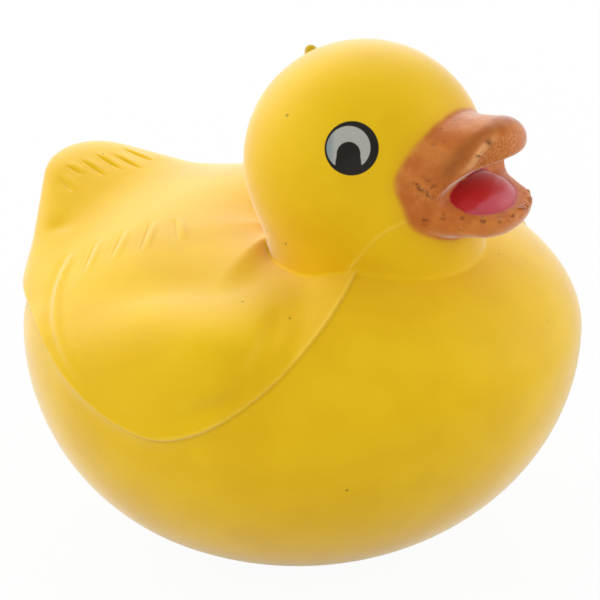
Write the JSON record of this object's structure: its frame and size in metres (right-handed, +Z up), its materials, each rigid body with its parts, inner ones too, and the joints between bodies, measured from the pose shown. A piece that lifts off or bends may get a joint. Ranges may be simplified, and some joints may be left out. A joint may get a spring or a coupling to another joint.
{
  "type": "squishy duck",
  "caption": "Squeezable yellow foam duck with an open orange beak, a red tongue, printed eyes, folded wings, a short tail and a flat foot",
  "frame": {"origin": "on the ground plane, under the middle of the duck's length and width", "axes": "+X forwards to the beak, +Y to the duck's left, +Z up"},
  "size_m": [0.075, 0.074, 0.0683],
  "materials": {
    "yellow_foam": "satin"
  },
  "bodies": {
    "root": {"foam_duck": "yellow_foam"}
  },
  "joints": []
}
